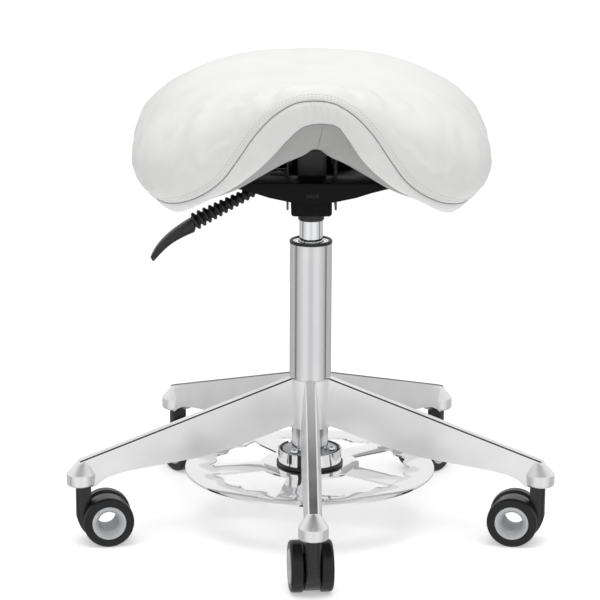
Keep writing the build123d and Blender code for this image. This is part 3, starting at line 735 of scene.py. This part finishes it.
    def free_share(self, grid: Array) -> Array:
        """How free each point is to swell: 0 at the seam and below it, 1 well above it."""
        seam = self.row_index(Row.SEAM)
        away = np.linalg.norm(grid - grid[seam], axis=-1) / (self.hem_mm * MM)
        share = ease(away)
        share[seam:] = 0
        return share[..., None]

    def inflated(self, grid: Array, faces: Faces) -> Array:
        """Blow a copy of the cover up in a cloth simulation, and give the cover its fine wrinkles.

        Args:
            grid: the fine points.
            faces: the faces over them.

        Returns:
            The fine points with the wrinkles on them.
        """
        free = self.free_share(grid)
        start = grid - self.shrink_mm * MM * free * self.normals(grid, faces)
        cloth = self.voxel_copy(start, faces)
        before = np.array([v.co for v in cloth.data.vertices])
        tree = point_tree(start.reshape(-1, 3))
        held = cloth.vertex_groups.new(name="held")
        shares = free.reshape(-1)
        for i, point in enumerate(before):
            held.add([i], 1.0 - float(shares[tree.find(point)[1]]), "REPLACE")
        after = self.simulated(cloth)
        moved = after - before
        length = np.linalg.norm(moved, axis=1, keepdims=True)
        cap = self.swell_cap_mm * MM
        moved *= np.tanh(length / cap) * cap / np.maximum(length, 1e-9)
        cloth_tree = point_tree(before)
        shift = np.zeros((start.shape[0] * start.shape[1], 3))
        for i, point in enumerate(start.reshape(-1, 3)):
            near = cloth_tree.find_n(point, 6)
            weight = np.array([1 / (d + 0.8 * MM) ** 2 for _, _, d in near])
            shift[i] = weight @ moved[[n for _, n, _ in near]] / weight.sum()
        bpy.data.objects.remove(cloth)
        shift = shift.reshape(start.shape)
        wrinkles = (shift - self.slow_part(shift)) * free
        log.info("cover wrinkled by up to %.1f mm", np.linalg.norm(wrinkles, axis=2).max() / MM)
        return grid + wrinkles

    def slow_part(self, field: Array) -> Array:
        """The part of a field over the grid that changes slowly: its mean over a patch, taken twice."""
        reach, places = self.patch_steps, np.arange(field.shape[1])
        width = 2 * reach + 1
        for _ in range(2):
            over_spine = field[1:reach + 1][::-1][:, -places % len(places)]
            tall = np.concatenate([over_spine, field, np.repeat(field[-1:], reach, axis=0)])
            field = sum(tall[k:k + len(field)] for k in range(width)) / width
            field = sum(np.roll(field, k, axis=1) for k in range(-reach, reach + 1)) / width
        return field

    def voxel_copy(self, grid: Array, faces: Faces) -> Object:
        """An evenly meshed copy of the cover for the simulation."""
        mesh = mesh_of("cover_cloth", grid.reshape(-1, 3), faces)
        recalculated(mesh)
        rough = linked("cover_cloth", mesh)
        remesh = rough.modifiers.new("even", "REMESH")
        remesh.mode = "VOXEL"
        remesh.voxel_size = self.voxel_mm * MM
        even = bpy.data.meshes.new_from_object(rough.evaluated_get(bpy.context.evaluated_depsgraph_get()))
        rough.modifiers.clear()
        rough.data = even
        return rough

    def simulated(self, cloth: Object) -> Array:
        """Run the cloth under pressure and return where its points end."""
        press = cloth.modifiers.new("blown", "CLOTH")
        for name, value in {
                "quality": 6, "mass": 0.25, "tension_stiffness": 12, "compression_stiffness": 12,
                "bending_stiffness": 0.6, "use_pressure": True, "uniform_pressure_force": 4.0,
                "shrink_min": -0.02, "vertex_group_mass": "held"}.items():
            setattr(press.settings, name, value)
        press.settings.effector_weights.gravity = 0
        press.point_cache.frame_start, press.point_cache.frame_end = 1, self.cloth_frames
        scene = bpy.context.scene
        for step in range(1, self.cloth_frames + 1):
            scene.frame_set(step)
        shape = cloth.evaluated_get(bpy.context.evaluated_depsgraph_get()).to_mesh()
        after = np.array([v.co for v in shape.vertices])
        scene.frame_set(1)
        cloth.modifiers.clear()
        return after

    def sewn(self, grid: Array, faces: Faces) -> Array:
        """Press in the seams, gather the band at the apex and crease the cover."""
        normals = self.normals(grid, faces)
        depth = np.zeros(grid.shape[:2])
        for row, share in ((Row.SEAM, 1.0), (Row.FOLD, 0.5)):
            away = np.linalg.norm(grid - grid[self.row_index(row)], axis=-1) / MM
            depth -= share * self.groove_mm * np.exp(-(away / self.groove_reach_mm) ** 2)
        depth += self.gathers(grid)
        for start, end, fall, half_width in COVER_CREASES:
            start, end = np.array(start) * MM, np.array(end) * MM
            along = np.clip((grid - start) @ (end - start) / ((end - start) @ (end - start)), 0, 1)
            foot = start + along[..., None] * (end - start)
            away = np.linalg.norm(grid - foot, axis=-1) / (half_width * MM)
            fade = 0.35 + 0.65 * np.sin(np.pi * along)
            depth += fall * fade * (0.45 * np.exp(-((away - 1.6) / 0.9) ** 2) - np.exp(-away ** 2))
        return grid + depth[..., None] * MM * normals

    def gathers(self, grid: Array) -> Array:
        """Height of the pleats that ease the band round the apex, in millimetres."""
        seam, fold = self.row_index(Row.SEAM), self.row_index(Row.FOLD)
        x = grid[..., 0] / MM - self.apex_lean_mm
        down = np.linalg.norm(grid - grid[seam], axis=-1) / MM
        wave = 2 * np.pi * x / self.gather_pitch_mm + 1.1 * np.sin(x / 7.0) + 0.03 * down * np.sign(x)
        pleat = 1 - 2 * np.abs(np.sin(wave / 2)) ** 0.7
        reach = np.exp(-(x / self.gather_reach_mm) ** 2)
        reach += 0.35 * np.exp(-((x - self.second_gather_mm) / self.gather_reach_mm) ** 2)
        height = self.gather_mm * pleat * reach * ease(down / 4) * np.exp(-down / self.gather_fade_mm)
        rows = np.arange(grid.shape[0])[:, None]
        return height * (rows > seam) * (rows < fold) * (grid[..., 1] < 0)

    def add_cover(self, grid: Array, faces: Faces) -> Object:
        """Make the cover's mesh, with the under panel in a darker grey copy of the leather: painted shade."""
        cover = add_piece("seat_cover", grid.reshape(-1, 3), faces, WHITE_LEATHER, "seat")
        cover.data.materials.append(material_of(PAINTED_SHADE_UNDER_LEATHER))
        # painted shade: faces from the fold row down take the darker copy of the leather
        first_under = self.row_index(Row.FOLD) * grid.shape[1]
        cover.data.polygons.foreach_set("material_index", [int(i >= first_under) for i in range(len(faces))])
        recalculated(cover.data)
        return cover

    def add_piping(self, grid: Array, normals: Array) -> None:
        """Lay the thin piping in the seam's groove, in grey: painted shade for the seam's shadow line."""
        seam = self.row_index(Row.SEAM)
        line = grid[seam] + 0.35 * self.piping_mm * MM * normals[seam]
        tube = swept(line, self.piping_mm / 2 * MM, 8, True, Vector((0.13, 0.21, 0.97)))
        self.sew_on("seam_piping_painted_shade", tube, PAINTED_SHADE_PIPING)

    def sew_on(self, name: str, tube: tuple[list, list], finish: Finish) -> None:
        """Add one sewn piece, given its vertices and faces."""
        add_piece(name, *tube, finish, "seat")

    def add_fold_seams(self, grid: Array, normals: Array) -> None:
        """Sew the under panel to the band at the apex, and close it down the middle."""
        fold, rim = self.row_index(Row.FOLD), self.row_index(Row.RIM)
        span = 3 * self.perimeter_steps
        across = np.roll(np.arange(grid.shape[1]), span)[:2 * span + 1]
        radius = 0.3 * self.piping_mm * MM
        edge = grid[fold, across] + radius * normals[fold, across]
        middle = grid[fold:rim + 1, 0] + 0.5 * radius * normals[fold:rim + 1, 0]
        for name, line in (("fold_seam", edge), ("under_panel_seam", middle)):
            taper = radius * (0.35 + 0.65 * np.sin(np.linspace(0.12, np.pi - 0.12, len(line))))
            # painted shade: these seams take the same grey piping finish
            self.sew_on(name, swept(line, taper, 6, False, Vector((0.31, 0.52, 0.79))), PAINTED_SHADE_PIPING)

    def add_stitches(self, name: str, grid: Array, normals: Array, offset_mm: float) -> None:
        """Sew one row of topstitch beside the seam.

        Args:
            name: the row's name.
            grid: the cover's fine points.
            normals: its outward directions.
            offset_mm: distance of the row from the seam.
        """
        seam, reach = self.row_index(Row.SEAM), 12
        line, out = [], []
        for place in range(grid.shape[1]):
            climb = grid[seam - reach:seam + 1, place][::-1]
            run = distance_along(climb)
            at = np.interp(offset_mm * MM, run, np.arange(len(run)))
            low, share = int(at), at - int(at)
            line.append(climb[low] * (1 - share) + climb[min(low + 1, reach)] * share)
            out.append(normals[seam - low, place])
        line, out = np.array(line + line[:1]), np.array(out + out[:1])
        run = distance_along(line)
        count = round(run[-1] / (self.stitch_pitch_mm * MM))
        vertices, faces = [], []
        for start in np.arange(count) * run[-1] / count:
            places = start + np.array([0, 0.5, 1]) * self.stitch_mm * MM
            points, lift = (np.stack([np.interp(places, run, column) for column in values.T], axis=1)
                            for values in (line, out))
            points += lift * np.array([[-0.15], [0.25], [-0.15]]) * self.thread_mm * MM
            radii = np.array([0.32, 0.5, 0.32]) * self.thread_mm * MM
            stitch, sides = swept(points, radii, 6, False, Vector((0.31, 0.52, 0.79)))
            faces += [tuple(i + len(vertices) for i in face) for face in sides]
            vertices += stitch
        self.sew_on(name, (vertices, faces), THREAD)


# ---------- metal and plastic sub-assemblies
@dataclass
class StarBase:
    """The cast hub and legs, and the stems pressed into the leg ends."""

    edge_mm: float = 1.5
    ridge_mm: float = 60.0          # edges longer than this run along a leg

    def build(self) -> None:
        """Round the casting's edges and dress the stems."""
        base = broken_edges("star_base", POLISHED_ALUMINIUM, self.edge_mm)
        self.paint_ridge_shade(base.data)
        dress("caster_stems", ZINC_STEEL)
        log.info("star base")

    def paint_ridge_shade(self, mesh: Mesh) -> None:
        """Paint the long rounded edges beside each side leg's ridge with the darker metal: painted shade for
        the shadow line under the ridge.
        """
        mesh.materials.append(material_of(PAINTED_SHADE_ALUMINIUM))
        for face in mesh.polygons:
            longest = max((mesh.vertices[a].co - mesh.vertices[b].co).length for a, b in face.edge_keys) / MM
            slanted = 0.35 < face.normal.z < 0.93
            on_front_leg = abs(face.center.x) < 20 * MM and face.center.y < 0
            # painted shade: long slanted rounded edges away from the front leg take the darker metal
            face.material_index = int(longest > self.ridge_mm and slanted and not on_front_leg)


@dataclass
class Casters:
    """Five twin-wheel casters with hollow axles."""

    edge_mm: float = 0.8

    def build(self) -> None:
        """Dress every caster's nodes."""
        for i in range(1, LEG_COUNT + 1):
            broken_edges(f"caster_body_{i}", CASTER_NYLON, self.edge_mm)
            dress(f"axle_sleeve_{i}", HUB_GREY)
            for side in ("left", "right"):
                dress(f"wheel_hub_{side}_{i}", HUB_GREY)
                dress(f"tyre_{side}_{i}", TREAD_RUBBER)
        log.info("%d casters", LEG_COUNT)


@dataclass
class Column:
    """The column tube with its ring and washers, and the gas spring in it."""

    def build(self) -> None:
        """Dress the column's nodes."""
        dress_all({"column_tube": SATIN_STEEL, "column_ring": BLACK_NYLON, "column_washers": POLISHED_STEEL,
                   "guide_bush": ACETAL, "gas_cylinder": CHROME, "piston_rod": CHROME,
                   "thrust_bearing": ZINC_STEEL, "rod_clip": ZINC_STEEL, "release_pin": ZINC_STEEL})


@dataclass
class FootRelease:
    """The foot plate and the rocker that pushes the release pin."""

    edge_mm: float = 0.4

    def build(self) -> None:
        """Round the plate's stamped edges and dress the rest."""
        broken_edges("foot_plate", POLISHED_STEEL, self.edge_mm, sharp_deg=35)
        dress_all({"rocker_cup": BLACK_NYLON, "rocker_band": POLISHED_STEEL, "rocker_screws": CHROME,
                   "release_flange": ZINC_STEEL})


@dataclass
class TiltMechanism:
    """Socket, pan, pivot bracket and the seat's own bracket."""

    edge_mm: float = 0.6

    def build(self) -> None:
        """Round the pressed and cast edges and dress the pins."""
        for node, finish in (("mechanism_pan", BLACK_ENAMEL), ("socket_block", BLACK_ENAMEL),
                             ("pivot_bracket", BRACKET_ENAMEL), ("seat_bracket", BRACKET_ENAMEL)):
            broken_edges(node, finish, self.edge_mm)
        dress_all({"socket_collar": BLACK_NYLON, "tilt_pin": ZINC_STEEL, "seat_bolts": ZINC_STEEL})


@dataclass
class TiltLever:
    """The lever's bar, its ribbed sleeve and its curved paddle."""

    neck_mm: tuple[float, float] = (-139.0, 374.0)      # (X, Z) where the sleeve meets the paddle
    bar_mm: float = 3.6
    sleeve_start_mm: float = 18.0
    ribs: int = 13
    # One rib: shares of its pitch, and its height there as a share of its crest's.
    rib: tuple = ((0.0, 0.62), (0.12, 0.60), (0.25, 0.66), (0.36, 0.86), (0.46, 0.97), (0.58, 1.0),
                  (0.74, 0.99), (0.86, 0.9), (0.93, 0.72))
    # The paddle's section: how far down it, and the width there as a share of the half width.
    section: tuple = ((0.0, 0.42), (0.1, 0.8), (0.42, 1.0), (0.8, 0.8), (1.0, 0.4), (1.0, -0.4), (0.8, -0.8),
                      (0.42, -1.0), (0.1, -0.8), (0.0, -0.42))
    # The paddle's stations: its upper edge and lower edge as (X, Z), and its half width.
    paddle: tuple = (
        ((-133.5, 384.0), (-136.5, 362.0), 8.5),
        ((-140.0, 381.0), (-143.0, 360.0), 10.8),
        ((-152.0, 373.5), (-153.5, 355.0), 12.0),
        ((-165.0, 364.0), (-164.5, 348.5), 12.0),
        ((-177.0, 353.0), (-174.0, 340.0), 11.0),
        ((-185.5, 341.5), (-181.5, 331.5), 8.5),
        ((-190.0, 331.0), (-186.5, 325.8), 5.0),
    )

    def build(self) -> None:
        """Make the sleeve and the paddle and dress the bar."""
        pivot = next(j for j in frame["joints"] if j["name"] == "lever_lift")["pos_m"]
        dress_all({"lever_shaft": ZINC_STEEL, "lever_pin": ZINC_STEEL})
        self.add_sleeve(Vector(pivot) / MM)
        self.add_paddle(pivot[1] / MM)
        log.info("lever sleeve of %d ribs, and paddle", self.ribs)

    def add_sleeve(self, pivot: Vector) -> None:
        """Turn the ribbed sleeve along the lever."""
        neck = Vector((self.neck_mm[0], pivot.y, self.neck_mm[1]))
        along = neck - pivot
        place = Matrix.Translation(pivot) @ along.to_track_quat("Z", "Y").to_matrix().to_4x4()
        end = along.length - 1.0
        pitch = (end - self.sleeve_start_mm) / self.ribs
        outline = [(self.bar_mm, self.sleeve_start_mm)]
        for i in range(self.ribs):
            foot = self.sleeve_start_mm + i * pitch
            for share, height in self.rib:
                crest = 5.0 + 5.0 * (i + share) / self.ribs
                outline.append((crest * height + 0.8, foot + share * pitch))
        outline += [(8.0, end), (self.bar_mm, end), (self.bar_mm, self.sleeve_start_mm)]
        sleeve = add_piece("ribbed_sleeve", *turned(outline, 32, place), BLACK_NYLON, "lever")
        recalculated(sleeve.data)
        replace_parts(sleeve, "lever_sleeve")

    def add_paddle(self, y: float) -> None:
        """Loft the paddle, with a bevel along its upper edge and a rounded tip."""
        vertices, faces = [], []
        for (upper_x, upper_z), (lower_x, lower_z), half in self.paddle:
            upper, lower = np.array((upper_x, upper_z)), np.array((lower_x, lower_z))
            for depth, width in self.section:
                x, z = upper + depth * (lower - upper)
                vertices.append(Vector((x, y + width * half, z)) * MM)
        sides = len(self.section)
        for i in range(len(self.paddle) - 1):
            faces += ring_faces(i * sides, (i + 1) * sides, sides)
        for first in (0, (len(self.paddle) - 1) * sides):
            ring = [first + k for k in range(sides)]
            faces += [(ring[k], ring[k + 1], ring[-k - 2], ring[-k - 1]) for k in range(sides // 2 - 1)]
        paddle = add_piece("lever_grip", vertices, faces, BLACK_NYLON, "lever")
        recalculated(paddle.data)
        round_off = paddle.modifiers.new("rounded", "SUBSURF")
        round_off.levels = round_off.render_levels = 2
        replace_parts(paddle, "lever_paddle")


# ---------- studio
@dataclass
class Studio:
    """A pale floor, soft light and the camera."""

    camera_mm: tuple[float, float, float] = (-12.7, -3755.0, 1265.0)
    pitch_deg: float = 14.78
    roll_rad: float = 0.0052
    orbit_deg: float = -0.76
    lens_mm: float = 195.76
    floor_m: float = 1.15
    floor_glow: float = 0.4
    backdrop_glow: float = 1.05
    # The even light by the sine of the height: (sine, grey).
    dome: tuple = ((0.0, 0.28), (0.4, 0.46), (0.8, 0.74), (1.0, 0.74))
    # What reflections show above the horizon, in the same way.
    sky: tuple = ((0.0, 0.97), (0.74, 0.95), (0.84, 0.15), (1.0, 0.10))
    # What they show below the horizon, by the turn from behind the stool (0) to the camera (1): (turn, grey).
    panels: tuple = ((0.0, 0.52), (0.20, 0.56), (0.42, 0.66), (0.465, 0.6), (0.48, 0.12), (0.505, 0.12),
                     (0.53, 0.5), (0.60, 0.72), (0.67, 0.8), (0.74, 0.92), (0.78, 1.0), (0.88, 1.0),
                     (0.95, 0.85), (1.0, 0.78))

    def build(self) -> None:
        """Set the whole studio up."""
        scene = bpy.context.scene
        scene.view_settings.view_transform = "Standard"
        self.add_camera()
        self.add_floor()
        self.add_world()
        self.add_lights()
        log.info("studio")

    def add_camera(self) -> None:
        """Stand the camera in front of the stool, a little above the seat."""
        data = bpy.data.cameras.new("camera")
        data.sensor_width, data.lens = 36.0, self.lens_mm
        data.clip_start, data.clip_end = 0.1, 100.0
        camera = linked("camera", data)
        orbit = Matrix.Rotation(math.radians(self.orbit_deg), 4, "Z")
        pitch = Matrix.Rotation(math.radians(90 - self.pitch_deg), 4, "X")
        roll = Matrix.Rotation(self.roll_rad, 4, "Z")
        camera.matrix_world = orbit @ Matrix.Translation(Vector(self.camera_mm) * MM) @ (pitch @ roll)
        bpy.context.scene.camera = camera

    def add_floor(self) -> None:
        """Lay a round pale matt floor that meets the white backdrop."""
        shape = bmesh.new()
        bmesh.ops.create_circle(shape, cap_ends=True, segments=96, radius=self.floor_m)
        mesh = bpy.data.meshes.new("floor")
        shape.to_mesh(mesh)
        shape.free()
        graph = Graph(bpy.data.materials.new("matt_white_floor"))
        mesh.materials.append(graph.principled(
            {"Roughness": 0.9, "Specular IOR Level": 0.1, "Emission Color": WHITE,
             "Emission Strength": self.floor_glow},
            graph.tinted(graph.spread(graph.patches(400.0), 0, 1), "#FAFAFA", "#F8F8F8")))
        floor = linked("floor", mesh)
        floor.visible_glossy = False

    def add_world(self) -> None:
        """Set a white backdrop, an even dome for the light, and a panelled room for the reflections."""
        world = bpy.data.worlds.new("white_studio")
        bpy.context.scene.world = world
        graph = Graph(world)
        split = graph.add("SeparateXYZ", links={0: graph.add("TexCoord").outputs["Generated"]})
        height = split.outputs["Z"]
        turn = graph.add("Math", settings={"operation": "ARCTAN2"},
                         links={0: split.outputs["X"], 1: split.outputs["Y"]})
        fold = graph.add("Math", settings={"operation": "ABSOLUTE"}, links={0: turn})
        around = graph.add("Math", settings={"operation": "DIVIDE"}, values={1: math.pi}, links={0: fold})
        above = graph.add("MapRange", values={"From Min": -0.05, "From Max": 0.05}, links={0: height})
        panels, sky = self.grey_ramp(graph, around, self.panels), self.grey_ramp(graph, height, self.sky)
        room = graph.add("Mix", settings={"data_type": "RGBA"}, links={0: above, 6: panels, 7: sky})
        mirrored = graph.add("Background", links={"Color": room.outputs[2]})
        dome = graph.add("Background", links={"Color": self.grey_ramp(graph, height, self.dome)})
        backdrop = graph.add("Background", values={"Color": WHITE, "Strength": self.backdrop_glow})
        path = graph.add("LightPath")
        lit = graph.add("MixShader", links={0: path.outputs["Is Glossy Ray"], 1: dome, 2: mirrored})
        seen = graph.add("MixShader", links={0: path.outputs["Is Camera Ray"], 1: lit, 2: backdrop})
        graph.add("OutputWorld", links={"Surface": seen})

    def grey_ramp(self, graph: Graph, factor: Node | Socket, stops: tuple) -> Node:
        """Map a value to greys.

        Args:
            graph: what gets the node.
            factor: the value, from 0 to 1.
            stops: (value, grey) pairs in order.

        Returns:
            The ramp node.
        """
        ramp = graph.add("ValToRGB", links={0: factor})
        marks = ramp.color_ramp.elements
        marks[0].position, marks[1].position = stops[0][0], stops[-1][0]
        for mark, (_, grey) in ((marks[0], stops[0]), (marks[1], stops[-1])):
            mark.color = (grey, grey, grey, 1)
        for position, grey in stops[1:-1]:
            marks.new(position).color = (grey, grey, grey, 1)
        return ramp

    def add_lights(self) -> None:
        """Hang the soft boxes."""
        aim_at = Vector((0, 0, 0.4))
        for name, place, width, height, watts in (
                ("overhead_box", (0.0, -0.6, 3.0), 2.2, 2.2, 32.0),
                ("left_box", (-2.4, -1.6, 1.6), 0.7, 2.0, 6.0),
                ("right_box", (2.4, -1.6, 1.6), 0.7, 2.0, 6.0)):
            data = bpy.data.lights.new(name, "AREA")
            data.shape, data.size, data.size_y, data.energy = "RECTANGLE", width, height, watts
            lamp = linked(name, data)
            lamp.visible_glossy = False             # reflections show the world's panels instead
            lamp.location = place
            lamp.rotation_euler = (aim_at - Vector(place)).to_track_quat("-Z", "Y").to_euler()


def main() -> None:
    """Build the stool round the frame, in the order it goes together."""
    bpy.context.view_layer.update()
    for part in (Studio, StarBase, Casters, Column, FootRelease, TiltMechanism, TiltLever, SaddleSeat):
        part().build()


if __name__ == "__main__":
    logging.basicConfig(level=logging.INFO, format="%(message)s")
    main()
